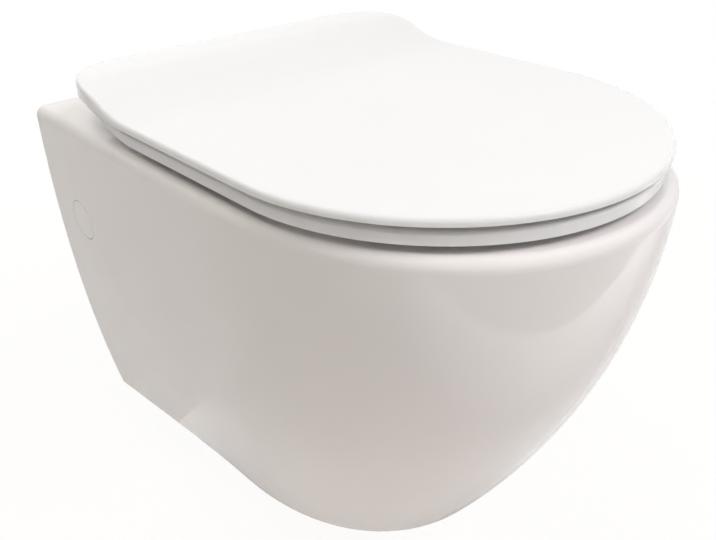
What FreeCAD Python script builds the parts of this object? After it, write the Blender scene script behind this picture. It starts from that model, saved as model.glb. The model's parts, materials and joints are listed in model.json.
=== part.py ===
import FreeCAD, Part
import math
import os

V = FreeCAD.Vector
os.makedirs("parts", exist_ok=True)

# Frame: the origin is midway between the two wall studs, on the wall plane.
# The front is -Y, the wall is at Y = 0 and up is +Z. Sizes in mm.

# Pan, outside
rim_above_studs = 95.0
pan_height = 340.0
rim_reach = 509.5
base_reach = 390.5
reach_power_share = 1.97
rim_half_wall = 185.4
base_half_wall = 149.8
wall_power_share = 1.95
rim_half_nose = 190.8
base_half_nose = 136.0
nose_power_share = 2.95
rim_nose_share = 1.258
base_nose_share = 1.22
nose_fullness_share = 0.607
side_pull_share = 0.33
level_shares = (0, 0.15, 0.32, 0.53, 0.74, 0.88, 1)
rim_edge_round = 9.0
base_edge_round = 10.0
overrun = 20.0
edge_slack = 0.02

# Pan, inside
shell_wall = 11.0
deck_thick = 14.0
base_wall = 12.0
bowl_wall = 10.0
well_depth = 48.0
rim_land_front = 46.5
rim_land_side = 51.8
well_rear = 153.0
well_draft = 4.0
well_edge_round = 8.0
bowl_lap = 4.0
sump_half = 40.0
sump_front = 318.0
sump_rear = 262.0
bowl_drop_shares = (0, 0.235, 0.484, 0.662, 0.822, 1)
bowl_half_shares = (0.879, 0.707, 0.424, 0.222, 0.081, 0)
bowl_front_shares = (0.897, 0.759, 0.462, 0.221, 0.083, 0)
bowl_rear_shares = (0.862, 0.661, 0.367, 0.174, 0.092, 0)
oval_fullness_share = 0.58

# Trap and outlet
outlet_below_studs = 100.0
crest_over_outlet = 32.0
trap_below_outlet = 92.0
trap_start = 285.0
trap_bend_start = 247.0
trap_radius = 38.0
trap_wall = 9.0
trap_turn = 52.0
riser_angle = 70.0
fall_angle = 30.0
spigot_radius = 51.0
spigot_start = 46.0
spigot_end = 6.0

# Flush inlet
inlet_above_studs = 35.0
inlet_radius = 27.5
inlet_depth = 52.0
flush_radius = 24.0
flush_end = 190.0
inlet_wall = 9.0
inlet_end = 4.0

# Flush guide in the bowl's rear wall
guide_tube_start = 128.0
guide_tube_end = 160.0
guide_tube_wall = 3.0
guide_fit = 0.15
guide_shield_start = 188.0
guide_shield_thick = 3.5
guide_shield_radius = 31.0
guide_rib_thick = 3.0
guide_rib_depth = 5.0
guide_rib_turns = (0, 120, 240)

# Side fixing
stud_spacing = 180.0
stud_hole_radius = 6.5
side_hole_from_wall = 57.0
cap_radius = 19.0
cap_gap = 0.15
cap_depth = 8.0
cap_edge_round = 0.8
cap_hole_round = 0.6
bush_flange_radius = 15.5
bush_flange_thick = 4.0
bush_gap = 0.15
bush_recess = 9.0
bush_body_radius = 10.5
boss_radius = 27.0
boss_floor = 8.0
side_screw_radius = 5.0
side_screw_gap = 0.1
side_screw_head_radius = 8.5
side_screw_head_thick = 4.5
side_screw_length = 38.0
socket_across = 6.0
socket_depth = 3.0
bracket_thick = 5.0
bracket_half_height = 25.0
bracket_inner_x = 70.0
bracket_arm_gap = 4.0
bracket_arm_length = 84.0
bracket_bend_round = 5.0
weld_nut_across = 17.0
weld_nut_thick = 8.0

# Lid and seat, plan
lid_from_wall = 52.0
lid_setback = 9.5
lid_half = 187.5
lid_nose = 181.0
lid_corner = 60.0
circle_share = 0.5523
nose_round_share = 0.545
lid_flat_top = 26.5
lid_rise = 17.8
rise_front = 171.0
rise_rear = 84.0
rise_pull_share = 0.45
lid_thick = 5.5
lid_edge_round = 3.0
lid_panel_thick = 3.2
lid_lip = 6.0
skirt_thick = 4.0
pocket_front = 150.0
skirt_rear_bottom = 31.5
lid_to_seat = 4.8
seat_thick = 9.7
seat_inset_side = 5.2
seat_inset_front = 2.5
seat_rear_gap = 1.5
seat_corner = 54.0
seat_edge_round = 2.5
seat_hole_half = 113.0
seat_land_front = 60.0
seat_hole_rear = 172.0
seat_hole_round = 4.5

# Hinges
hinge_from_wall = 41.0
hinge_above_rim = 26.0
hinge_spacing = 155.0
post_width = 16.0
post_depth = 14.0
post_barrel_radius = 8.0
post_round = 2.0
base_radius = 20.5
base_thick = 3.2
base_round = 1.5
gasket_radius = 19.5
gasket_thick = 1.0
stud_bolt_radius = 4.0
stud_bolt_gap = 0.1
stud_bolt_into_post = 12.0
stud_bolt_below_rim = 45.0
stud_bolt_chamfer = 0.6
deck_hole_radius = 7.0
sleeve_gap = 0.1
sleeve_bulge_radius = 9.5
sleeve_bulge_length = 12.0
cone_nut_radius = 6.8
cone_nut_length = 13.0
cone_nut_chamfer = 1.2
pin_radius = 4.0
pin_tight_gap = 0.02
pin_running_gap = 0.06
pin_length = 46.0
pin_into_damper = 12.0
pin_end_chamfer = 0.6
knuckle_gap = 0.5
knuckle_radius = 8.5
knuckle_web_depth = 14.5
knuckle_web_rise = 12.0
seat_web_depth = 24.0
seat_web_above_axis = 3.0
knuckle_wall = 2.0
damper_radius = 6.0
damper_length = 40.0
damper_cap_length = 3.0
damper_groove_length = 3.0
damper_groove_depth = 0.6
bush_length = 20.0
cartridge_gap = 0.02

# Rubber pads
pad_radius = 7.0
pad_gap = 0.3
pad_edge_round = 1.0
seat_pad_inset = 29.5
seat_pad_from_wall = 235.0
seat_front_pad_inset = 75.5
seat_front_pad_back = 63.0
lid_pad_inset = 41.5
lid_pad_from_wall = 245.0
lid_front_pad_inset = 87.5
lid_front_pad_back = 75.0

# Values that follow
rim_z = rim_above_studs
axis_y = -hinge_from_wall
axis_z = rim_z + hinge_above_rim
post_x = hinge_spacing / 2
ledge_z = rim_z - well_depth
well_half = rim_half_nose - rim_land_side
well_front = rim_reach - rim_land_front
outlet_z = -outlet_below_studs
lid_under = lid_flat_top - lid_thick
lid_panel_under = lid_flat_top - lid_panel_thick
seat_top = lid_under - lid_to_seat
seat_under = seat_top - seat_thick
lid_front = rim_reach - lid_setback
seat_hole_front = lid_front - seat_land_front
seat_pads = ((lid_half - seat_pad_inset, seat_pad_from_wall),
             (lid_half - seat_front_pad_inset, lid_front - seat_front_pad_back))
lid_pads = ((lid_half - lid_pad_inset, lid_pad_from_wall),
            (lid_half - lid_front_pad_inset, lid_front - lid_front_pad_back))


def save(node, solids):
    shape = solids[0] if len(solids) == 1 else Part.makeCompound(solids)
    shape.exportStep("parts/" + node + ".step")


def curve(points):
    bezier = Part.BezierCurve()
    bezier.setPoles(points)
    return bezier.toShape()


def rod(radius, start, end):
    step = end.sub(start)
    return Part.makeCylinder(radius, step.Length, start, step)


def block(low, high):
    size = high.sub(low)
    return Part.makeBox(size.x, size.y, size.z, low)


def mirrored(shape):
    return shape.mirror(V(0, 0, 0), V(1, 0, 0))


def both(shape):
    return [shape, mirrored(shape)]


def blend(first, last, share):
    return first + (last - first) * share


# Pan

def pan_section(drop, inset, back):
    share = drop / pan_height
    reach = blend(rim_reach, base_reach, share ** reach_power_share) - inset
    at_wall = blend(rim_half_wall, base_half_wall, share ** wall_power_share) - inset
    at_nose = blend(rim_half_nose, base_half_nose, share ** nose_power_share) - inset
    nose = (at_nose + inset) * blend(rim_nose_share, base_nose_share, share) - inset
    z = rim_z - drop
    joint = nose - reach
    full = nose_fullness_share
    near = joint * side_pull_share
    far = joint * (1 - side_pull_share)
    side = curve([V(at_wall, back, z), V((at_wall + at_nose) / 2, near, z),
                  V(at_nose, far, z), V(at_nose, joint, z)])
    tip = curve([V(at_nose, joint, z), V(at_nose, joint - full * nose, z),
                 V(full * at_nose, -reach, z), V(0, -reach, z)])
    tip_left = curve([V(0, -reach, z), V(-full * at_nose, -reach, z),
                      V(-at_nose, joint - full * nose, z), V(-at_nose, joint, z)])
    side_left = curve([V(-at_nose, joint, z), V(-at_nose, far, z),
                       V(-(at_wall + at_nose) / 2, near, z), V(-at_wall, back, z)])
    rear = Part.makeLine(V(-at_wall, back, z), V(at_wall, back, z))
    return Part.Wire([side, tip, tip_left, side_left, rear])


def pan_loft(inset, top, bottom, back):
    drops = [blend(top, bottom, share) for share in level_shares]
    return Part.makeLoft([pan_section(drop, inset, back) for drop in drops], True, False)


def behind(y):
    reach = rim_reach
    return block(V(-reach, y, -reach), V(reach, overrun * 3, reach))


def edges_at(shape, z):
    near = []
    for edge in shape.Edges:
        box = edge.BoundBox
        if abs(box.ZMin - z) < edge_slack and abs(box.ZMax - z) < edge_slack:
            near.append(edge)
    return near


def pan_outside():
    body = pan_loft(0, 0, pan_height, overrun)
    rounded = [edge for edge in edges_at(body, rim_z - pan_height) if edge.BoundBox.YMin < 0]
    body = body.makeFillet(base_edge_round, rounded)
    rounded = [edge for edge in edges_at(body, rim_z) if edge.BoundBox.YMin < 0]
    body = body.makeFillet(rim_edge_round, rounded)
    return body.cut(behind(0))


def oval(half, front, rear, z):
    middle = -(front + rear) / 2
    long = (front - rear) / 2
    full = oval_fullness_share
    signs = ((1, -1), (-1, -1), (-1, 1), (1, 1))
    edges = []
    for across, along in signs:
        start = V(across * half, middle, z)
        end = V(0, middle + along * long, z)
        poles = [start, V(across * half, middle + along * full * long, z),
                 V(across * full * half, middle + along * long, z), end]
        if across * along > 0:
            poles.reverse()
        edges.append(curve(poles))
    return Part.Wire(edges)


def well(grow, top, bottom):
    low = grow - well_draft
    upper = oval(well_half + grow, well_front + grow, well_rear - grow, top)
    lower = oval(well_half + low, well_front + low, well_rear - low, bottom)
    return Part.makeLoft([upper, lower], True, True)


def bowl(grow):
    top = ledge_z + bowl_lap
    floor = outlet_z - trap_below_outlet - trap_radius
    wires = []
    shares = zip(bowl_drop_shares, bowl_half_shares, bowl_front_shares, bowl_rear_shares)
    for drop, half, front, rear in shares:
        z = blend(top, floor - grow, drop)
        wires.append(oval(blend(sump_half, well_half, half) + grow,
                          blend(sump_front, well_front, front) + grow,
                          blend(sump_rear, well_rear, rear) - grow, z))
    return Part.makeLoft(wires, True, False)


def arc(start, middle, end):
    return Part.Arc(start, middle, end).toShape()


def trap_path():
    up = math.radians(riser_angle)
    down = math.radians(fall_angle)
    low = outlet_z - trap_below_outlet
    crest = outlet_z + crest_over_outlet
    turn = trap_turn

    def bend(y, z, angle):
        return V(0, y + turn * math.sin(angle), z + turn * (1 - math.cos(angle)))

    def dive(y, z, angle):
        return V(0, y + turn * math.sin(angle), z - turn * (1 - math.cos(angle)))

    start = V(0, -trap_start, low)
    foot = V(0, -trap_bend_start, low)
    foot_end = bend(foot.y, low, up)
    head_drop = turn * (1 - math.cos(up))
    climb = crest - head_drop - foot_end.z
    head = V(0, foot_end.y + climb / math.tan(up), crest - head_drop)
    apex_y = head.y + turn * math.sin(up)
    head_end = dive(apex_y, crest, down)
    fall = head_end.z - outlet_z - turn * (1 - math.cos(down))
    tail = V(0, head_end.y + fall / math.tan(down), head_end.z - fall)
    level = V(0, tail.y + turn * math.sin(down), outlet_z)
    middle = bend(level.y, outlet_z, -down / 2)
    edges = [Part.makeLine(start, foot), arc(foot, bend(foot.y, low, up / 2), foot_end),
             Part.makeLine(foot_end, head), arc(head, V(0, apex_y, crest), head_end),
             Part.makeLine(head_end, tail), arc(tail, middle, level),
             Part.makeLine(level, V(0, overrun, outlet_z))]
    return Part.Wire(edges)


def trap(radius):
    path = trap_path()
    ring = Part.Wire([Part.makeCircle(radius, V(0, -trap_start, outlet_z - trap_below_outlet), V(0, 1, 0))])
    return path.makePipeShell([ring], True, False)


def spigot():
    return rod(spigot_radius, V(0, -spigot_start, outlet_z), V(0, -spigot_end, outlet_z))


def inlet_bore():
    z = inlet_above_studs
    mouth = rod(inlet_radius, V(0, -inlet_depth, z), V(0, overrun, z))
    return mouth.fuse(rod(flush_radius, V(0, -flush_end, z), V(0, -inlet_depth + overrun, z)))


def inlet_tube():
    z = inlet_above_studs
    return rod(inlet_radius + inlet_wall, V(0, -flush_end, z), V(0, -inlet_end, z))


def side_surface():
    y = -side_hole_from_wall
    return Part.makeLine(V(0, y, 0), V(rim_reach, y, 0)).common(pan_outside()).BoundBox.XMax


cap_seat_x = side_surface() - cap_depth
bush_seat_x = cap_seat_x - bush_recess
boss_inner_x = bush_seat_x - boss_floor
bracket_arm_x = boss_inner_x - bracket_arm_gap - bracket_thick


def side_boss():
    start = V(boss_inner_x, -side_hole_from_wall, 0)
    return rod(boss_radius, start, V(rim_half_wall, -side_hole_from_wall, 0))


def well_ring():
    return well(bowl_wall, rim_z, ledge_z - bowl_wall)


def shell_room():
    room = pan_loft(shell_wall, deck_thick, pan_height - base_wall, overrun * 2)
    return room.cut(well_ring().multiFuse(both(side_boss())))


def bowl_solid():
    over = block(V(-rim_reach, -rim_reach, ledge_z), V(rim_reach, 0, rim_z + overrun))
    return bowl(bowl_wall).cut(over)


def trap_solid():
    return trap(trap_radius + trap_wall).fuse(spigot()).cut(behind(-spigot_end))


def side_bore():
    y = -side_hole_from_wall
    cap = rod(cap_radius + cap_gap, V(cap_seat_x, y, 0), V(rim_reach, y, 0))
    flange = rod(bush_flange_radius + bush_gap, V(bush_seat_x, y, 0), V(rim_reach, y, 0))
    body = rod(bush_body_radius + bush_gap, V(boss_inner_x - overrun, y, 0), V(rim_reach, y, 0))
    return cap.multiFuse([flange, body])


def deck_hole():
    low = rim_z - deck_thick - overrun
    return rod(deck_hole_radius, V(post_x, axis_y, low), V(post_x, axis_y, rim_z + overrun))


# One casting in four sections: the outer shell with its rim well, the bowl, the trap and the inlet.

def cap_hole_edges(shell):
    chosen = []
    for edge in shell.Edges:
        box = edge.BoundBox
        outside = min(abs(box.XMin), abs(box.XMax)) > cap_seat_x + cap_depth / 2
        near = abs(box.Center.y + side_hole_from_wall) < cap_radius and abs(box.Center.z) < cap_radius
        if outside and near:
            chosen.append(edge)
    return chosen


def pan_shell():
    shell = pan_outside().cut(well(0, rim_z, ledge_z))
    lip = []
    for edge in edges_at(shell, rim_z):
        middle = edge.valueAt((edge.FirstParameter + edge.LastParameter) / 2)
        if abs(middle.x) < well_half and -well_front < middle.y < -well_rear:
            lip.append(edge)
    shell = shell.makeFillet(well_edge_round, lip)
    shell = shell.cut(shell_room()).cut(bowl_solid()).cut(trap_solid())
    shell = shell.cut([inlet_bore()] + both(side_bore()) + both(deck_hole()))
    return shell.makeFillet(cap_hole_round, cap_hole_edges(shell))


def bowl_section():
    return bowl_solid().cut([bowl(0), trap(trap_radius), inlet_bore()])


def trap_section():
    return trap_solid().cut([bowl(bowl_wall), trap(trap_radius)])


def inlet_pipe():
    return inlet_tube().cut([well_ring(), bowl(bowl_wall), inlet_bore()])


def flush_guide():
    z = inlet_above_studs
    radius = flush_radius - guide_fit
    tube = rod(radius, V(0, -guide_tube_end, z), V(0, -guide_tube_start, z))
    tube = tube.cut(rod(radius - guide_tube_wall, V(0, -guide_tube_end, z), V(0, -guide_tube_start, z)))
    shield_end = guide_shield_start + guide_shield_thick
    pieces = [rod(guide_shield_radius, V(0, -shield_end, z), V(0, -guide_shield_start, z))]
    for turn in guide_rib_turns:
        low = V(-guide_rib_thick / 2, -shield_end, z + radius - guide_tube_wall / 2 - guide_rib_depth)
        high = V(guide_rib_thick / 2, -guide_tube_start, z + radius - guide_tube_wall / 2)
        rib = block(low, high)
        rib.rotate(V(0, 0, z), V(0, 1, 0), turn)
        pieces.append(rib)
    return tube.multiFuse(pieces).removeSplitter()


# Side fixing, drawn on the right

def side_cap():
    y = -side_hole_from_wall
    cap = pan_outside().common(rod(cap_radius, V(cap_seat_x, y, 0), V(rim_reach, y, 0)))
    outer = [edge for edge in cap.Edges if edge.BoundBox.XMin > cap_seat_x + cap_depth / 2]
    return cap.makeFillet(cap_edge_round, outer)


def along_side(radius, start, end):
    return rod(radius, V(start, -side_hole_from_wall, 0), V(end, -side_hole_from_wall, 0))


def hexagon_bar(across, start, end):
    corner = across / math.sqrt(3)
    points = []
    for step in range(7):
        angle = math.radians(60 * step)
        points.append(V(start, corner * math.cos(angle) - side_hole_from_wall, corner * math.sin(angle)))
    return Part.Face(Part.makePolygon(points)).extrude(V(end - start, 0, 0))


def side_bush():
    arm_face = bracket_arm_x + bracket_thick
    bush = along_side(bush_flange_radius, bush_seat_x, bush_seat_x + bush_flange_thick)
    bush = bush.fuse(along_side(bush_body_radius, arm_face, bush_seat_x))
    bore = side_screw_radius + side_screw_gap
    return bush.cut(along_side(bore, arm_face, bush_seat_x + bush_flange_thick)).removeSplitter()


def side_screw():
    seat = bush_seat_x + bush_flange_thick
    top = seat + side_screw_head_thick
    screw = along_side(side_screw_head_radius, seat, top)
    screw = screw.fuse(along_side(side_screw_radius, seat - side_screw_length, seat))
    return screw.cut(hexagon_bar(socket_across, top - socket_depth, top)).removeSplitter()


def weld_nut():
    nut = hexagon_bar(weld_nut_across, bracket_arm_x - weld_nut_thick, bracket_arm_x)
    bore = side_screw_radius + side_screw_gap
    return nut.cut(along_side(bore, bracket_arm_x - weld_nut_thick, bracket_arm_x))


def bracket():
    high = bracket_half_height
    outer = bracket_arm_x + bracket_thick
    plate = block(V(bracket_inner_x, -bracket_thick, -high), V(outer, 0, high))
    arm = block(V(bracket_arm_x, -bracket_arm_length, -high), V(outer, 0, high))
    angle = plate.fuse(arm).removeSplitter()
    inner = [edge for edge in angle.Edges if edge.BoundBox.XLength < bracket_thick / 2
             and abs(edge.BoundBox.XMin - bracket_arm_x) < bracket_thick / 2
             and abs(edge.BoundBox.YMax + bracket_thick) < bracket_thick / 2
             and edge.BoundBox.ZLength > high]
    angle = angle.makeFillet(bracket_bend_round, inner)
    stud = rod(stud_hole_radius, V(stud_spacing / 2, -overrun, 0), V(stud_spacing / 2, overrun, 0))
    bore = side_screw_radius + side_screw_gap
    return angle.cut([stud, along_side(bore, bracket_arm_x - overrun, outer + overrun)])


# Hinge posts and their deck fixing, drawn on the right

def upright(radius, low, high):
    return rod(radius, V(post_x, axis_y, low), V(post_x, axis_y, high))


def along_axis(radius, start, end):
    return rod(radius, V(start, axis_y, axis_z), V(end, axis_y, axis_z))


gasket_top = rim_z + gasket_thick
base_top = gasket_top + base_thick
stud_clear = stud_bolt_radius + stud_bolt_gap
nut_top = rim_z - deck_thick - sleeve_bulge_length


def base_gasket():
    return upright(gasket_radius, rim_z, gasket_top).cut(upright(stud_clear, rim_z, gasket_top))


def hinge_base():
    base = upright(base_radius, gasket_top, base_top)
    base = base.makeFillet(base_round, edges_at(base, base_top))
    return base.cut(upright(stud_clear, gasket_top, base_top))


def hinge_stud():
    stud = upright(stud_bolt_radius, rim_z - stud_bolt_below_rim, base_top + stud_bolt_into_post)
    return stud.makeChamfer(stud_bolt_chamfer, edges_at(stud, rim_z - stud_bolt_below_rim))


def expanding_sleeve():
    under = rim_z - deck_thick
    sleeve = upright(deck_hole_radius - sleeve_gap, under, rim_z)
    sleeve = sleeve.fuse(upright(sleeve_bulge_radius, nut_top, under))
    return sleeve.cut(upright(stud_clear, nut_top, rim_z)).removeSplitter()


def cone_nut():
    nut = upright(cone_nut_radius, nut_top - cone_nut_length, nut_top)
    nut = nut.makeChamfer(cone_nut_chamfer, edges_at(nut, nut_top - cone_nut_length))
    return nut.cut(upright(stud_clear, nut_top - cone_nut_length, nut_top))


def hinge_post():
    half = post_width / 2
    low = V(post_x - half, axis_y - post_depth / 2, base_top)
    pillar = block(low, V(post_x + half, axis_y + post_depth / 2, axis_z))
    upright_edges = [edge for edge in pillar.Edges if edge.BoundBox.ZLength > post_round]
    pillar = pillar.makeFillet(post_round, upright_edges)
    post = pillar.fuse(along_axis(post_barrel_radius, post_x - half, post_x + half)).removeSplitter()
    socket = upright(stud_clear, base_top, base_top + stud_bolt_into_post + stud_bolt_gap)
    return post.cut([socket, along_axis(pin_radius + pin_tight_gap, post_x - half, post_x + half)])


# Knuckles: the lid's lie outside the posts and the seat's inside.

lid_knuckle_x = post_x + post_width / 2 + knuckle_gap
seat_knuckle_x = post_x - post_width / 2 - knuckle_gap


def hinge_pins():
    pins = []
    for start in (-lid_knuckle_x - pin_into_damper, seat_knuckle_x - pin_into_damper):
        pin = along_axis(pin_radius, start, start + pin_length)
        ends = [edge for edge in pin.Edges if edge.BoundBox.XLength < pin_end_chamfer]
        pins.append(pin.makeChamfer(pin_end_chamfer, ends))
    return pins


def cartridge(start, way):
    end = start + way * damper_length
    body = along_axis(damper_radius, start, end)
    groove_start = start + way * damper_cap_length
    groove = along_axis(damper_radius, groove_start, groove_start + way * damper_groove_length)
    groove = groove.cut(along_axis(damper_radius - damper_groove_depth, start, end))
    socket_end = start + way * (pin_into_damper + pin_end_chamfer)
    socket = along_axis(pin_radius + pin_running_gap, start, socket_end)
    return body.cut([groove, socket])


def knuckle_bush(start, way):
    end = start + way * bush_length
    return along_axis(damper_radius, start, end).cut(along_axis(pin_radius + pin_running_gap, start, end))


def lid_knuckle(way, length):
    start = way * lid_knuckle_x
    end = start + way * (length + knuckle_wall)
    barrel = along_axis(knuckle_radius, start, end)
    low = V(min(start, end), axis_y - knuckle_web_depth, axis_z)
    web = block(low, V(max(start, end), axis_y, axis_z + knuckle_web_rise))
    return barrel.fuse(web)


def seat_knuckle(way, length):
    start = way * seat_knuckle_x
    end = start - way * (length + knuckle_wall)
    barrel = along_axis(knuckle_radius, start, end)
    low = V(min(start, end), axis_y - seat_web_depth, axis_z - knuckle_radius)
    web = block(low, V(max(start, end), axis_y, axis_z + seat_web_above_axis))
    return barrel.fuse(web)


def knuckle_bore(start, way, length):
    return along_axis(damper_radius + cartridge_gap, start, start + way * length)


# Seat and lid: a plan outline cut to a side profile that sweeps up at the rear.

def plan_side(half, front, nose, rear, corner):
    joint = nose - front
    lead = corner * (1 - circle_share)
    full = nose_round_share
    return [Part.makeLine(V(0, -rear, 0), V(half - corner, -rear, 0)),
            curve([V(half - corner, -rear, 0), V(half - lead, -rear, 0),
                   V(half, -rear - lead, 0), V(half, -rear - corner, 0)]),
            Part.makeLine(V(half, -rear - corner, 0), V(half, joint, 0)),
            curve([V(half, joint, 0), V(half, joint - full * nose, 0),
                   V(full * half, -front, 0), V(0, -front, 0)])]


def plan(half, front, nose, rear, corner):
    right = plan_side(half, front, nose, rear, corner)
    left = [mirrored(edge) for edge in right]
    face = Part.Face(Part.Wire(Part.__sortEdges__(right + left)))
    face.translate(V(0, 0, rim_z))
    return face.extrude(V(0, 0, lid_flat_top + lid_rise + overrun))


def swept_line(height, rise):
    span = (rise_front - rise_rear) * rise_pull_share
    low = rim_z + height
    high = low + rise
    front = -lid_front - overrun
    return [Part.makeLine(V(0, front, low), V(0, -rise_front, low)),
            curve([V(0, -rise_front, low), V(0, -rise_front + span, low),
                   V(0, -rise_rear - span, high), V(0, -rise_rear, high)]),
            Part.makeLine(V(0, -rise_rear, high), V(0, overrun, high))]


def side_strip(low, low_rise, high, high_rise):
    under = swept_line(low, low_rise)
    over = swept_line(high, high_rise)
    ends = []
    for index in (0, -1):
        first = under[0].Vertexes[0].Point if index == 0 else under[-1].Vertexes[1].Point
        second = over[0].Vertexes[0].Point if index == 0 else over[-1].Vertexes[1].Point
        ends.append(Part.makeLine(first, second))
    face = Part.Face(Part.Wire(Part.__sortEdges__(under + over + ends)))
    half = lid_half + overrun
    face.translate(V(-half, 0, 0))
    return face.extrude(V(half * 2, 0, 0))


def lift(y):
    share = min(max((y + rise_front) / (rise_front - rise_rear), 0), 1)
    return lid_rise * share * share * (3 - 2 * share)


def upper_edges(shape, middle):
    chosen = []
    for edge in shape.Edges:
        point = edge.valueAt((edge.FirstParameter + edge.LastParameter) / 2)
        flat = edge.BoundBox.ZLength < max(edge.BoundBox.XLength, edge.BoundBox.YLength)
        if flat and point.z > rim_z + middle + lift(point.y):
            chosen.append(edge)
    return chosen


def lid_plan(inset):
    half = lid_half - inset
    rear = lid_from_wall + inset
    return plan(half, lid_front - inset, lid_nose - inset, rear, lid_corner - inset)


def lid_shell():
    sweep = side_strip(lid_under, skirt_rear_bottom - lid_under, lid_flat_top, lid_rise)
    shell = lid_plan(0).common(sweep)
    shell = shell.makeFillet(lid_edge_round, upper_edges(shell, lid_flat_top - lid_thick / 2))
    pocket = lid_plan(skirt_thick).common(side_strip(0, 0, lid_under, lid_rise))
    room = block(V(-lid_half, -pocket_front, rim_z), V(lid_half, 0, rim_z + lid_flat_top + lid_rise))
    recess = lid_plan(lid_lip).common(side_strip(0, 0, lid_panel_under, lid_rise))
    return shell.cut([pocket.common(room), recess])


def lid_panel():
    lid = lid_shell().multiFuse([lid_knuckle(-1, damper_length), lid_knuckle(1, bush_length)])
    bores = [knuckle_bore(-lid_knuckle_x, -1, damper_length), knuckle_bore(lid_knuckle_x, 1, bush_length)]
    return lid.removeSplitter().cut(bores)


def round_hole(edge):
    box = edge.BoundBox
    side = seat_hole_half + seat_hole_round * 2
    rear = seat_hole_rear - seat_hole_round * 2
    return max(box.XMax, -box.XMin) < side and box.YMax < -rear


def seat_ring():
    rear = lid_from_wall + skirt_thick + seat_rear_gap
    front = lid_front - seat_inset_front
    outline = plan(lid_half - seat_inset_side, front, lid_nose - seat_inset_front, rear, seat_corner)
    hole = Part.Face(oval(seat_hole_half, seat_hole_front, seat_hole_rear, rim_z))
    ring = outline.cut(hole.extrude(V(0, 0, lid_flat_top + lid_rise + overrun)))
    ring = ring.common(side_strip(seat_under, lid_rise, seat_top, lid_rise))
    upper = upper_edges(ring, (seat_under + seat_top) / 2)
    ring = ring.makeFillet(seat_hole_round, [edge for edge in upper if round_hole(edge)])
    upper = upper_edges(ring, (seat_under + seat_top) / 2)
    ring = ring.makeFillet(seat_edge_round, [edge for edge in upper if not round_hole(edge)])
    ring = ring.multiFuse([seat_knuckle(1, damper_length), seat_knuckle(-1, bush_length)]).removeSplitter()
    bores = [knuckle_bore(seat_knuckle_x, -1, damper_length), knuckle_bore(-seat_knuckle_x, 1, bush_length)]
    return ring.cut(bores)


def pads(places, low, high):
    solids = []
    for x, y in places:
        pad = rod(pad_radius, V(x, -y, rim_z + low), V(x, -y, rim_z + high))
        pad = pad.makeFillet(pad_edge_round, edges_at(pad, rim_z + low))
        solids += both(pad)
    return solids


def write_fixings():
    save("side_caps", both(side_cap()))
    save("side_bushes", both(side_bush()))
    save("side_screws", both(side_screw()))
    save("weld_nuts", both(weld_nut()))
    save("wall_bracket_right", [bracket()])
    save("wall_bracket_left", [mirrored(bracket())])


def write_hinges():
    save("base_gaskets", both(base_gasket()))
    save("hinge_bases", both(hinge_base()))
    save("hinge_studs", both(hinge_stud()))
    save("expanding_sleeves", both(expanding_sleeve()))
    save("cone_nuts", both(cone_nut()))
    save("hinge_posts", both(hinge_post()))
    save("hinge_pins", hinge_pins())


def write_seat_and_lid():
    save("seat_ring", [seat_ring()])
    save("seat_damper", [cartridge(seat_knuckle_x, -1)])
    save("seat_bush", [knuckle_bush(-seat_knuckle_x, 1)])
    save("seat_pads", pads(seat_pads, pad_gap, seat_under))
    save("lid_panel", [lid_panel()])
    save("lid_damper", [cartridge(-lid_knuckle_x, -1)])
    save("lid_bush", [knuckle_bush(lid_knuckle_x, 1)])
    save("lid_pads", pads(lid_pads, seat_top + pad_gap, lid_panel_under))


save("pan_shell", [pan_shell()])
save("bowl", [bowl_section()])
save("trap_and_outlet", [trap_section()])
save("inlet_pipe", [inlet_pipe()])
save("flush_guide", [flush_guide()])
write_fixings()
write_hinges()
write_seat_and_lid()
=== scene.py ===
import json
import math

import bpy
import numpy as np
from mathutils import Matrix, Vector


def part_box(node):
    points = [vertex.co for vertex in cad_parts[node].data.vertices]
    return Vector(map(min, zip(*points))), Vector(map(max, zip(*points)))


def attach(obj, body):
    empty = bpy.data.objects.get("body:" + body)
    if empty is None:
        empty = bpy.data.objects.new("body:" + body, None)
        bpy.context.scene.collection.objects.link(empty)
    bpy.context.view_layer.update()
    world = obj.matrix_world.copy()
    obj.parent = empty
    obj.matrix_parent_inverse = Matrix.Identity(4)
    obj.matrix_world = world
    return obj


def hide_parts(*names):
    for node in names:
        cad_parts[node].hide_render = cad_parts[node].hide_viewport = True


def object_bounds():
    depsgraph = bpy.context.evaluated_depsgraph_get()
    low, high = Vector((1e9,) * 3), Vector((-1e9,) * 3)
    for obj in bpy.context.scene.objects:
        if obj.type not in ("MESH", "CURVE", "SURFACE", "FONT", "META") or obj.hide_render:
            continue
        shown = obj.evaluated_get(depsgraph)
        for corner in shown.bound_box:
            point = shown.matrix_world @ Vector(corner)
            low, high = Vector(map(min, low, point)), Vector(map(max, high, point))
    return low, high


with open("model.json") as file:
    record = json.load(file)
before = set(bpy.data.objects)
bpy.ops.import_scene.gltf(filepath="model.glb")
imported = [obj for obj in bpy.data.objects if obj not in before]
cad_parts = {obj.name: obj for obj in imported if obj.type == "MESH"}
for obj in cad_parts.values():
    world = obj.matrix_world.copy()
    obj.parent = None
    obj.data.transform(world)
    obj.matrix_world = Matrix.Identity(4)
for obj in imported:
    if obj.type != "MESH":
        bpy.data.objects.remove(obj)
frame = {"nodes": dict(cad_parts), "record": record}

cadBox = [list(corner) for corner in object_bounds()]
nodes = frame["nodes"]
subparts = frame["record"]["subparts"]
scene = bpy.context.scene
print("frame loaded:", len(nodes), "nodes")


# Node helpers for the finishes, the floor, the cards and the world

def newFinish(name):
    material = bpy.data.materials.new(name)
    material.use_nodes = True
    tree = material.node_tree
    return material, tree, tree.nodes["Principled BSDF"]


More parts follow.
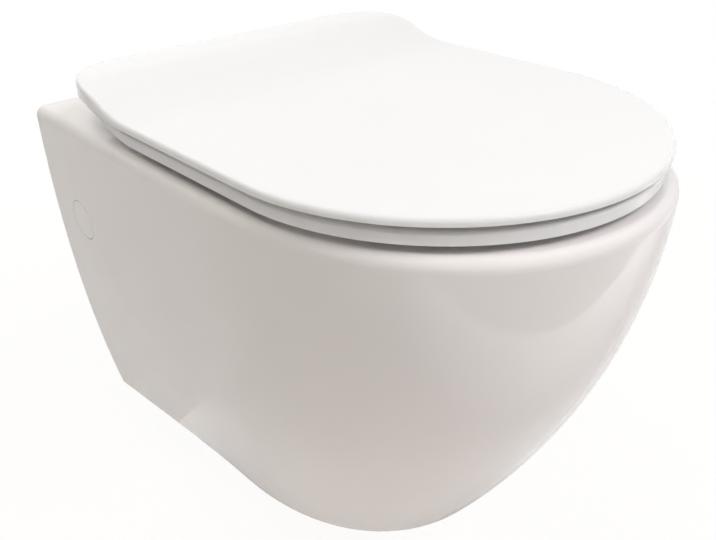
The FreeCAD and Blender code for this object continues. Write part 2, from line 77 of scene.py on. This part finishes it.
def objectPoint(tree, stretch=(1, 1, 1)):
    coordinate = tree.nodes.new("ShaderNodeTexCoord")
    mapping = tree.nodes.new("ShaderNodeMapping")
    mapping.inputs["Scale"].default_value = stretch
    tree.links.new(coordinate.outputs["Object"], mapping.inputs["Vector"])
    return mapping.outputs["Vector"]


def noiseField(tree, scale, detail=3.0, stretch=(1, 1, 1)):
    noise = tree.nodes.new("ShaderNodeTexNoise")
    noise.inputs["Scale"].default_value = scale
    noise.inputs["Detail"].default_value = detail
    tree.links.new(objectPoint(tree, stretch), noise.inputs["Vector"])
    return noise.outputs["Fac"]


def remap(tree, field, low, high, fromLow=0.3, fromHigh=0.7):
    # most of a noise field lies between 0.3 and 0.7, so that span is spread over low to high
    node = tree.nodes.new("ShaderNodeMapRange")
    node.inputs["From Min"].default_value = fromLow
    node.inputs["From Max"].default_value = fromHigh
    node.inputs["To Min"].default_value = low
    node.inputs["To Max"].default_value = high
    tree.links.new(field, node.inputs["Value"])
    return node.outputs["Result"]


def mixTones(tree, field, first, second):
    # each tone is a plain colour or another node's output
    mix = tree.nodes.new("ShaderNodeMix")
    mix.data_type = "RGBA"
    tree.links.new(field, mix.inputs["Factor"])
    for socket, tone in (("A", first), ("B", second)):
        target = [entry for entry in mix.inputs if entry.name == socket and entry.type == "RGBA"][0]
        if isinstance(tone, tuple):
            target.default_value = (*tone, 1)
        else:
            tree.links.new(tone, target)
    return [entry for entry in mix.outputs if entry.type == "RGBA"][0]


def bumpFrom(tree, field, depth, strength):
    bump = tree.nodes.new("ShaderNodeBump")
    bump.inputs["Distance"].default_value = depth
    bump.inputs["Strength"].default_value = strength
    tree.links.new(field, bump.inputs["Height"])
    return bump.outputs["Normal"]


def numberStep(tree, operation, first, second):
    # the result is held between 0 and 1
    step = tree.nodes.new("ShaderNodeMath")
    step.operation = operation
    step.use_clamp = True
    tree.links.new(first, step.inputs[0])
    tree.links.new(second, step.inputs[1])
    return step.outputs["Value"]


def vectorStep(tree, operation, first, second):
    # the second vector is the same all over
    step = tree.nodes.new("ShaderNodeVectorMath")
    step.operation = operation
    tree.links.new(first, step.inputs[0])
    step.inputs[1].default_value = second
    return step.outputs["Vector"]


def vectorLength(tree, vector):
    step = tree.nodes.new("ShaderNodeVectorMath")
    step.operation = "LENGTH"
    tree.links.new(vector, step.inputs[0])
    return step.outputs["Value"]


def mixShaders(tree, share, first, second):
    mix = tree.nodes.new("ShaderNodeMixShader")
    tree.links.new(share, mix.inputs["Fac"])
    tree.links.new(first, mix.inputs[1])
    tree.links.new(second, mix.inputs[2])
    return mix.outputs["Shader"]


def seenRays(tree):
    # 1 for rays from the camera and for those that gloss or glass passes on, 0 for all others
    path = tree.nodes.new("ShaderNodeLightPath")
    passed = numberStep(tree, "ADD", path.outputs["Is Glossy Ray"], path.outputs["Is Transmission Ray"])
    return numberStep(tree, "ADD", path.outputs["Is Camera Ray"], passed)


# Finishes

glazeLook = {"tone": ((0.822, 0.789, 0.777), (0.852, 0.818, 0.806)), "cloudScale": 6.0,
             "roughness": (0.045, 0.08), "smudgeScale": 14.0, "refraction": 1.52,
             "peelScale": 70.0, "peelDetail": 1.0, "peelDepth": 0.0004, "peelStrength": 0.035,
             "bisque": (0.62, 0.56, 0.48), "bisqueRoughness": 0.85, "bisqueSpan": (-0.0016, -0.0004)}


def glazedChina(look=glazeLook):
    # cloudy glaze with a faint orange peel; the edge that lies on the wall is bare fired clay
    material, tree, shader = newFinish("glazedChina")
    cloud = noiseField(tree, look["cloudScale"])
    glaze = mixTones(tree, remap(tree, cloud, 0, 1), *look["tone"])
    split = tree.nodes.new("ShaderNodeSeparateXYZ")
    tree.links.new(objectPoint(tree), split.inputs["Vector"])
    bare = remap(tree, split.outputs["Y"], 0, 1, *look["bisqueSpan"])
    tree.links.new(mixTones(tree, bare, glaze, look["bisque"]), shader.inputs["Base Color"])
    smudge = remap(tree, noiseField(tree, look["smudgeScale"]), *look["roughness"])
    rough = tree.nodes.new("ShaderNodeMix")
    tree.links.new(bare, rough.inputs["Factor"])
    tree.links.new(smudge, rough.inputs["A"])
    rough.inputs["B"].default_value = look["bisqueRoughness"]
    tree.links.new(rough.outputs["Result"], shader.inputs["Roughness"])
    shader.inputs["IOR"].default_value = look["refraction"]
    peel = noiseField(tree, look["peelScale"], look["peelDetail"])
    tree.links.new(bumpFrom(tree, peel, look["peelDepth"], look["peelStrength"]), shader.inputs["Normal"])
    return material


# what a moulded finish has unless its own look says otherwise
mouldedBasics = {"stretch": (1, 1, 1), "grainDetail": 4.0, "metal": 0.0, "translucent": 0.0,
                 "translucentDepth": 0.005}
seatLook = {"tone": ((0.83, 0.83, 0.83), (0.85, 0.85, 0.85)), "cloudScale": 5.0, "roughness": (0.10, 0.16),
            "grainScale": 380.0, "grainDepth": 0.0002, "grainStrength": 0.02}
polymerLook = {"tone": ((0.822, 0.79, 0.778), (0.852, 0.819, 0.807)), "cloudScale": 20.0,
               "roughness": (0.16, 0.26), "grainScale": 500.0, "grainDepth": 0.0002, "grainStrength": 0.03}
nylonLook = {"tone": ((0.70, 0.68, 0.60), (0.76, 0.74, 0.67)), "cloudScale": 60.0, "roughness": (0.40, 0.55),
             "grainScale": 700.0, "grainDepth": 0.0002, "grainStrength": 0.08, "translucent": 0.2}
zincLook = {"tone": ((0.55, 0.57, 0.60), (0.74, 0.75, 0.74)), "cloudScale": 55.0, "roughness": (0.28, 0.45),
            "grainScale": 160.0, "grainDepth": 0.0002, "grainStrength": 0.10, "metal": 1.0}
pinLook = {"tone": ((0.62, 0.62, 0.63), (0.72, 0.72, 0.73)), "cloudScale": 90.0, "roughness": (0.18, 0.30),
           "grainScale": 300.0, "grainDepth": 0.0001, "grainStrength": 0.10, "metal": 1.0,
           "stretch": (8, 1, 1)}
chromeLook = {"tone": ((0.80, 0.81, 0.83), (0.86, 0.87, 0.88)), "cloudScale": 30.0, "roughness": (0.04, 0.10),
              "grainScale": 60.0, "grainDepth": 0.0001, "grainStrength": 0.02, "metal": 1.0}
brassLook = {"tone": ((0.66, 0.48, 0.20), (0.78, 0.60, 0.30)), "cloudScale": 70.0, "roughness": (0.22, 0.36),
             "grainScale": 200.0, "grainDepth": 0.0002, "grainStrength": 0.12, "metal": 1.0,
             "stretch": (1, 1, 9)}
padLook = {"tone": ((0.40, 0.40, 0.40), (0.47, 0.47, 0.46)), "cloudScale": 80.0, "roughness": (0.62, 0.80),
           "grainScale": 900.0, "grainDepth": 0.0002, "grainStrength": 0.20}
sleeveLook = {"tone": ((0.022, 0.022, 0.023), (0.04, 0.04, 0.04)), "cloudScale": 80.0,
              "roughness": (0.60, 0.82), "grainScale": 900.0, "grainDepth": 0.0002, "grainStrength": 0.20}
damperLook = {"tone": ((0.07, 0.075, 0.085), (0.10, 0.105, 0.115)), "cloudScale": 60.0,
              "roughness": (0.34, 0.50), "grainScale": 600.0, "grainDepth": 0.0002, "grainStrength": 0.10}


def mouldedFinish(name, ownLook):
    # clouded tone, and one fine grain that drives both the roughness and the bump
    look = {**mouldedBasics, **ownLook}
    material, tree, shader = newFinish(name)
    cloud = noiseField(tree, look["cloudScale"], stretch=look["stretch"])
    tree.links.new(mixTones(tree, remap(tree, cloud, 0, 1), *look["tone"]), shader.inputs["Base Color"])
    grain = noiseField(tree, look["grainScale"], look["grainDetail"], look["stretch"])
    tree.links.new(remap(tree, grain, *look["roughness"]), shader.inputs["Roughness"])
    tree.links.new(bumpFrom(tree, grain, look["grainDepth"], look["grainStrength"]), shader.inputs["Normal"])
    shader.inputs["Metallic"].default_value = look["metal"]
    shader.inputs["Subsurface Weight"].default_value = look["translucent"]
    shader.inputs["Subsurface Scale"].default_value = look["translucentDepth"]
    return material


finishes = {"glazed_china": glazedChina(),
            "seat_white": mouldedFinish("seatWhite", seatLook),
            "white_polymer": mouldedFinish("whitePolymer", polymerLook),
            "nylon": mouldedFinish("nylonSatin", nylonLook),
            "zinc_steel": mouldedFinish("zincSteel", zincLook),
            "pin_steel": mouldedFinish("groundPin", pinLook),
            "chrome": mouldedFinish("polishedChrome", chromeLook),
            "brass": mouldedFinish("turnedBrass", brassLook),
            "grey_rubber": mouldedFinish("greyRubber", padLook),
            "black_rubber": mouldedFinish("blackRubber", sleeveLook),
            "damper_grey": mouldedFinish("damperPlastic", damperLook)}

for part in subparts:
    mesh = nodes[part["node"]].data
    mesh.materials.clear()
    mesh.materials.append(finishes[part["material_slot"]])
print("finishes on:", len(subparts), "nodes")


# Fixings with real threads, knurls and chamfers, each a radius given over turn and length

def lengthShares(rows):
    # shares of the length from 0 to 1, one to a row
    return np.linspace(0, 1, rows)[:, None]


def turnAngles(columns):
    # even turns round the axis, one to a column, the last a step short of the first
    return np.linspace(0, 2 * np.pi, columns, endpoint=False)[None, :]


def threadDip(along, turn, pitch, depth):
    # a helix: the groove's depth is a triangle wave of the length in pitches less the turn
    phase = (along / pitch - turn / (2 * np.pi)) % 1.0
    return depth * np.abs(2 * phase - 1)


def hexRadius(turn, across):
    # distance to the flat of a hexagon with a corner at turn 0
    return across / 2 / np.cos((turn % (np.pi / 3)) - np.pi / 6)


def raisedWave(phase):
    # a cosine lifted to run from 0 up to 1 and back
    return 0.5 - 0.5 * np.cos(phase)


def gridQuads(rows, columns, closedRows):
    # quads between neighbouring rows and columns; columns always close, rows close on a ring
    row = np.arange(rows if closedRows else rows - 1)[:, None]
    column = np.arange(columns)[None, :]
    near, far = row * columns, ((row + 1) % rows) * columns
    ahead = (column + 1) % columns
    corners = np.broadcast_arrays(near + column, near + ahead, far + ahead, far + column)
    return np.stack(corners, -1).reshape(-1, 4)


def turnedSolid(along, radius, closedRows):
    # rows are rings of the given radius at the given length; an open stack gets a fan at each end
    rows, columns = radius.shape
    turn = turnAngles(columns)
    along = np.broadcast_to(along, radius.shape)
    points = np.stack([radius * np.cos(turn), radius * np.sin(turn), along], -1).reshape(-1, 3)
    quads = gridQuads(rows, columns, closedRows)
    if closedRows:
        return points, quads, np.empty((0, 3), int)
    first, last = len(points), len(points) + 1
    points = np.vstack([points, [[0, 0, along[0, 0]], [0, 0, along[-1, 0]]]])
    ring = np.arange(columns)
    ahead = (ring + 1) % columns
    top = (rows - 1) * columns
    firstFan = np.stack([ahead, ring, np.full(columns, first)], -1)
    lastFan = np.stack([top + ring, top + ahead, np.full(columns, last)], -1)
    return points, quads, np.vstack([firstFan, lastFan])


creaseAngle = math.radians(32)


def placedPair(name, node, slot, solid, place, sideways=False):
    # the turned solid stands upright at place, or lies along X, and is mirrored across the middle
    points, quads, fans = solid
    if sideways:
        points = points[:, [2, 0, 1]]
    right = points + np.asarray(place)
    left = right * np.array([-1, 1, 1])
    rightFaces = quads.tolist() + fans.tolist()
    leftFaces = (quads[:, ::-1] + len(right)).tolist() + (fans[:, ::-1] + len(right)).tolist()
    mesh = bpy.data.meshes.new(name)
    mesh.from_pydata(np.vstack([right, left]).tolist(), [], rightFaces + leftFaces)
    mesh.polygons.foreach_set("use_smooth", np.ones(len(mesh.polygons), bool))
    mesh.set_sharp_from_angle(angle=creaseAngle)
    mesh.materials.append(finishes[slot])
    piece = bpy.data.objects.new(name, mesh)
    scene.collection.objects.link(piece)
    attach(piece, "pan")
    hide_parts(node)


def uprightPlace(node, radius):
    # foot of the right-hand solid's axis, in a mirrored pair of upright solids
    low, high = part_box(node)
    return high[0] - radius, (low[1] + high[1]) / 2, low[2]


def sidewaysPlace(node, length):
    # inner end of the right-hand solid's axis, in a mirrored pair that lies along X
    low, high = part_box(node)
    return high[0] - length, (low[1] + high[1]) / 2, (low[2] + high[2]) / 2


def nodeHeight(node):
    low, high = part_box(node)
    return high[2] - low[2]


studLook = {"node": "hinge_studs", "radius": 0.004, "pitch": 0.00125, "depth": 0.00062, "tip": 0.0008,
            "rows": 620, "columns": 40}


def threadedStuds(look=studLook):
    # radius = major radius less the helix groove, held inside a cone at either tip
    height = nodeHeight(look["node"])
    along = lengthShares(look["rows"]) * height
    dip = threadDip(along, turnAngles(look["columns"]), look["pitch"], look["depth"])
    cone = look["radius"] - look["tip"] + np.minimum(along, height - along)
    radius = np.minimum(look["radius"] - dip, cone)
    place = uprightPlace(look["node"], look["radius"])
    placedPair("threadedStuds", look["node"], "zinc_steel", turnedSolid(along, radius, False), place)


screwLook = {"node": "side_screws", "radius": 0.005, "pitch": 0.0015, "depth": 0.00075, "tip": 0.001,
             "shank": 0.038, "head": 0.0045, "headRadius": 0.0085, "headRound": 0.0012, "socket": 0.006,
             "socketDepth": 0.003, "rows": 420, "roundRows": 8, "columns": 48}


def socketScrews(look=screwLook):
    # threaded shank, then the head's outline out and in again, then the hexagon socket down to its floor
    turn = turnAngles(look["columns"])
    shank = lengthShares(look["rows"]) * look["shank"]
    cone = look["radius"] - look["tip"] + shank
    thread = np.minimum(look["radius"] - threadDip(shank, turn, look["pitch"], look["depth"]), cone)
    bend = np.linspace(0, np.pi / 2, look["roundRows"])[:, None]
    top = look["shank"] + look["head"]
    outline = look["headRadius"] - look["headRound"] * (1 - np.cos(bend))
    lift = top - look["headRound"] * (1 - np.sin(bend))
    plain = np.ones_like(turn)
    hexagon = hexRadius(turn, look["socket"])
    radius = np.vstack([thread, look["headRadius"] * plain, outline * plain, hexagon, hexagon])
    socketFloor = top - look["socketDepth"]
    along = np.vstack([shank, [[look["shank"]]], lift, [[top]], [[socketFloor]]])
    place = sidewaysPlace(look["node"], top)
    placedPair("socketScrews", look["node"], "zinc_steel", turnedSolid(along, radius, False), place, True)


nutLook = {"node": "weld_nuts", "across": 0.017, "length": 0.008, "bore": 0.0051, "chamfer": 0.0012,
           "chamferSlope": 0.6, "columns": 72}


def chamferedNuts(look=nutLook):
    # a hexagon whose corners are cut back by a cone at both ends, round an open bore
    turn = turnAngles(look["columns"])
    length, corner = look["length"], look["across"] / math.sqrt(3)
    rise = look["chamfer"] * look["chamferSlope"]
    cut = corner - look["chamfer"]
    limit = np.array([[cut], [corner], [corner], [cut]])
    outer = np.minimum(hexRadius(turn, look["across"]), limit)
    bore = np.full((2, look["columns"]), look["bore"])
    along = np.array([[0], [rise], [length - rise], [length], [length], [0]])
    place = sidewaysPlace(look["node"], length)
    placedPair("chamferedNuts", look["node"], "zinc_steel",
               turnedSolid(along, np.vstack([outer, bore]), True), place, True)


coneLook = {"node": "cone_nuts", "radius": 0.0068, "length": 0.013, "bore": 0.0041, "chamfer": 0.0012,
            "ridges": 36, "ridgeDepth": 0.00035, "rows": 60, "columns": 216}


def knurledNuts(look=coneLook):
    # straight knurl: a wave of the turn, faded out along both ends; the foot is a cone, the bore is open
    along = lengthShares(look["rows"]) * look["length"]
    fade = np.clip(np.minimum(along, look["length"] - along) / look["chamfer"] - 1, 0, 1)
    cone = np.minimum(look["radius"], look["radius"] - look["chamfer"] + along)
    ridges = raisedWave(look["ridges"] * turnAngles(look["columns"]))
    outer = cone - look["ridgeDepth"] * fade * ridges
    bore = np.full((2, look["columns"]), look["bore"])
    ends = [[look["length"]], [0.0]]
    solid = turnedSolid(np.vstack([along, ends]), np.vstack([outer, bore]), True)
    placedPair("knurledNuts", look["node"], "brass", solid, uprightPlace(look["node"], look["radius"]))


sleeveShape = {"node": "expanding_sleeves", "radius": 0.0095, "neck": 0.0069, "bulge": 0.012, "bore": 0.0041,
               "ribs": 4, "ribDepth": 0.0005, "rows": 90, "columns": 48}


def ribbedSleeves(look=sleeveShape):
    # barrel below the deck with shallow ribs, then a plain neck in the deck hole, round an open bore
    height = nodeHeight(look["node"])
    share = lengthShares(look["rows"])
    swell = np.sin(np.pi * share)
    barrel = look["neck"] + (look["radius"] - look["neck"]) * np.sqrt(swell)
    ribs = look["ribDepth"] * raisedWave(2 * np.pi * look["ribs"] * share)
    plain = np.ones((1, look["columns"]))
    outer = (barrel - ribs * swell) * plain
    radius = np.vstack([outer, look["neck"] * plain, look["bore"] * plain, look["bore"] * plain])
    along = np.vstack([share * look["bulge"], [[height]], [[height]], [[0.0]]])
    place = uprightPlace(look["node"], look["radius"])
    placedPair("ribbedSleeves", look["node"], "black_rubber", turnedSolid(along, radius, True), place)


threadedStuds()
socketScrews()
chamferedNuts()
knurledNuts()
ribbedSleeves()
print("fixings made")


# Stage: floor, world, reflector cards, lamps and camera

def flatSheet(name, corners, material):
    # one four-cornered sheet, corners in order round it
    mesh = bpy.data.meshes.new(name)
    mesh.from_pydata(corners, [], [(0, 1, 2, 3)])
    mesh.materials.append(material)
    sheet = bpy.data.objects.new(name, mesh)
    scene.collection.objects.link(sheet)
    return sheet


def levelCorners(half, near, far, height):
    # a level rectangle that faces up, from near to far in Y
    return [(-half, near, height), (half, near, height), (half, far, height), (-half, far, height)]


def uprightCorners(half, y, low, high):
    # an upright rectangle that faces the front, from low to high in Z
    return [(-half, y, low), (half, y, low), (half, y, high), (-half, y, high)]


floorLook = {"drop": 0.125, "half": 5.0, "tone": (0.92, 0.875, 0.828), "roughness": 0.9, "glow": 0.235,
             "shadowShare": 0.12, "shadowReach": (0.6, 1.8)}
floorHeight = cadBox[0][2] - floorLook["drop"]


def paleFloor(look=floorLook):
    # warm matt floor; where it is seen it is nearly white, with a share left near the object for its shadow
    material, tree, shader = newFinish("paleFloor")
    shader.inputs["Base Color"].default_value = (*look["tone"], 1)
    shader.inputs["Roughness"].default_value = look["roughness"]
    shader.inputs["Emission Color"].default_value = (*look["tone"], 1)
    shader.inputs["Emission Strength"].default_value = look["glow"]
    white = tree.nodes.new("ShaderNodeEmission")
    levelPoint = objectPoint(tree, (1, 1, 0))  # the height is left out
    reach = vectorLength(tree, levelPoint)
    whiteShare = remap(tree, reach, 1 - look["shadowShare"], 1, *look["shadowReach"])
    seenShare = numberStep(tree, "MULTIPLY", seenRays(tree), whiteShare)
    surface = mixShaders(tree, seenShare, shader.outputs["BSDF"], white.outputs["Emission"])
    tree.links.new(surface, tree.nodes["Material Output"].inputs["Surface"])
    flatSheet("paleFloor", levelCorners(look["half"], -look["half"], look["half"], floorHeight), material)


worldLook = {"zenith": (1.0, 0.99, 0.98), "zenithStrength": 0.10, "horizon": (1.0, 0.98, 0.96),
             "horizonStrength": 0.02, "blend": (0.40, 0.80), "seen": (1.0, 1.0, 1.0), "seenStrength": 1.0}


def skyLight(tree, tone, strength):
    light = tree.nodes.new("ShaderNodeBackground")
    light.inputs["Color"].default_value = (*tone, 1)
    light.inputs["Strength"].default_value = strength
    return light.outputs["Background"]


def whiteWorld(look=worldLook):
    # white where it is seen; the light that it gives is faint and grows from the horizon up
    world = bpy.data.worlds.new("whiteRoom")
    scene.world = world
    world.use_nodes = True
    tree = world.node_tree
    tree.nodes.remove(tree.nodes["Background"])
    high = skyLight(tree, look["zenith"], look["zenithStrength"])
    low = skyLight(tree, look["horizon"], look["horizonStrength"])
    seen = skyLight(tree, look["seen"], look["seenStrength"])
    way = tree.nodes.new("ShaderNodeTexCoord")
    split = tree.nodes.new("ShaderNodeSeparateXYZ")
    tree.links.new(way.outputs["Generated"], split.inputs["Vector"])
    climb = remap(tree, split.outputs["Z"], 0, 1, *look["blend"])
    sky = mixShaders(tree, climb, low, high)
    surface = mixShaders(tree, seenRays(tree), sky, seen)
    tree.links.new(surface, tree.nodes["World Output"].inputs["Surface"])


# pale cards that only gloss sees: the wall behind, and the floor under, just before and far before the pan;
# the wall, under and near cards are painted darker towards the pan, a painted shadow of it seen in the glaze
cardLook = {"wall": {"half": 2.5, "y": 0.015, "height": 2.0, "strength": (0.50, 1.15),
                     "shadeCentre": (0, 0.015), "shadeSpread": (0.28, 1.0, 0.40), "shadeFade": (0.30, 1.30)},
            "under": {"half": 0.50, "y": (-0.62, 0.014), "lift": 0.001, "strength": (0.50, 0.95),
                      "shadeCentre": (0, -0.20), "shadeSpread": (0.25, 0.35, 1.0), "shadeFade": (0.48, 0.93)},
            "near": {"half": 3.0, "y": (-0.90, -0.62), "lift": 0.002, "strength": (0.95, 2.3),
                     "shadeCentre": (0, -0.62), "shadeSpread": (100, 0.28, 1.0), "shadeFade": (0, 1)},
            "front": {"half": 3.0, "y": (-3.90, -0.90), "lift": 0.002, "strength": 1.4}}


def gradedStrength(tree, look):
    # painted shadow of the pan: strength grows with the distance from the shade's centre on the floor,
    # measured in spreads
    coordinate = tree.nodes.new("ShaderNodeTexCoord")
    offset = vectorStep(tree, "SUBTRACT", coordinate.outputs["Object"], (*look["shadeCentre"], floorHeight))
    reach = vectorLength(tree, vectorStep(tree, "DIVIDE", offset, look["shadeSpread"]))
    return remap(tree, reach, *look["strength"], *look["shadeFade"])


def glossCard(name, corners, look):
    material, tree, shader = newFinish(name)
    tree.nodes.remove(shader)
    glow = tree.nodes.new("ShaderNodeEmission")
    if "shadeCentre" in look:
        tree.links.new(gradedStrength(tree, look), glow.inputs["Strength"])
    else:
        glow.inputs["Strength"].default_value = look["strength"]
    tree.links.new(glow.outputs["Emission"], tree.nodes["Material Output"].inputs["Surface"])
    card = flatSheet(name, corners, material)
    card.visible_camera = False
    card.visible_diffuse = False
    card.visible_transmission = False
    card.visible_shadow = False


def reflectorCards(looks=cardLook):
    wall = looks["wall"]
    wallTop = floorHeight + wall["height"]
    glossCard("wallCard", uprightCorners(wall["half"], wall["y"], floorHeight, wallTop), wall)
    for place in ("under", "near", "front"):
        look = looks[place]
        glossCard(place + "Card", levelCorners(look["half"], *look["y"], floorHeight + look["lift"]), look)


lampLook = {"frontKey": {"place": (0.35, -1.55, 1.61), "aim": (-0.05, -0.3, 0.05), "size": (0.8, 0.8),
                         "power": 21.0, "tone": (0.97, 0.96, 1.0)},
            "leftHigh": {"place": (-0.75, -0.35, 1.8), "aim": (-0.05, -0.3, 0.05), "size": (0.8, 0.8),
                         "power": 11.4, "tone": (1.0, 0.965, 0.88)},
            "viewFill": {"place": (-0.72, -1.15, 1.5), "aim": (-0.05, -0.3, 0.05), "size": (0.8, 0.8),
                         "power": 4.7, "tone": (1.0, 0.98, 0.96)},
            "topFill": {"place": (-0.2, -0.35, 1.9), "aim": (-0.1, -0.3, 0.05), "size": (0.8, 0.8),
                        "power": 3.3, "tone": (1.0, 1.0, 1.0)},
            "deckFill": {"place": (-0.12, 0.42, 0.62), "aim": (-0.16, -0.04, 0.09), "size": (0.3, 0.3),
                         "power": 1.2, "tone": (1.0, 0.99, 0.98)},
            "rearFill": {"place": (0.2, 1.8, 0.35), "aim": (0, 0, -0.05), "size": (1.0, 0.6),
                         "power": 14.0, "tone": (1.0, 0.99, 0.98)},
            "rightFill": {"place": (1.8, -0.15, 0.35), "aim": (0, -0.25, -0.05), "size": (1.0, 0.6),
                          "power": 6.0, "tone": (1.0, 0.99, 0.98)}}


def softLamp(name, look):
    lamp = bpy.data.lights.new(name, "AREA")
    lamp.shape = "RECTANGLE"
    lamp.size, lamp.size_y = look["size"]
    lamp.energy = look["power"]
    lamp.color = look["tone"]
    holder = bpy.data.objects.new(name, lamp)
    scene.collection.objects.link(holder)
    holder.visible_glossy = False
    holder.visible_camera = False
    holder.location = look["place"]
    # an unturned lamp shines straight down: it is tipped up to the aim, then swung round to it
    way = np.subtract(look["aim"], look["place"])
    level = math.hypot(way[0], way[1])
    holder.rotation_euler = (math.atan2(level, -way[2]), 0, math.atan2(way[1], way[0]) - math.pi / 2)


cameraLook = {"place": (-0.4595, -0.7189, 0.3295), "pitch": 60.21, "yaw": -43.44, "pixelFocus": 800.0,
              "pixelWidth": 716.0}


def photoCamera(look=cameraLook):
    camera = bpy.data.cameras.new("photoCamera")
    camera.lens = camera.sensor_width * look["pixelFocus"] / look["pixelWidth"]
    holder = bpy.data.objects.new("photoCamera", camera)
    scene.collection.objects.link(holder)
    holder.location = look["place"]
    holder.rotation_euler = (math.radians(look["pitch"]), 0, math.radians(look["yaw"]))
    scene.camera = holder


whiteWorld()
paleFloor()
reflectorCards()
for lampName, lampSettings in lampLook.items():
    softLamp(lampName, lampSettings)
photoCamera()
scene.view_settings.view_transform = "Standard"
print("stage set")
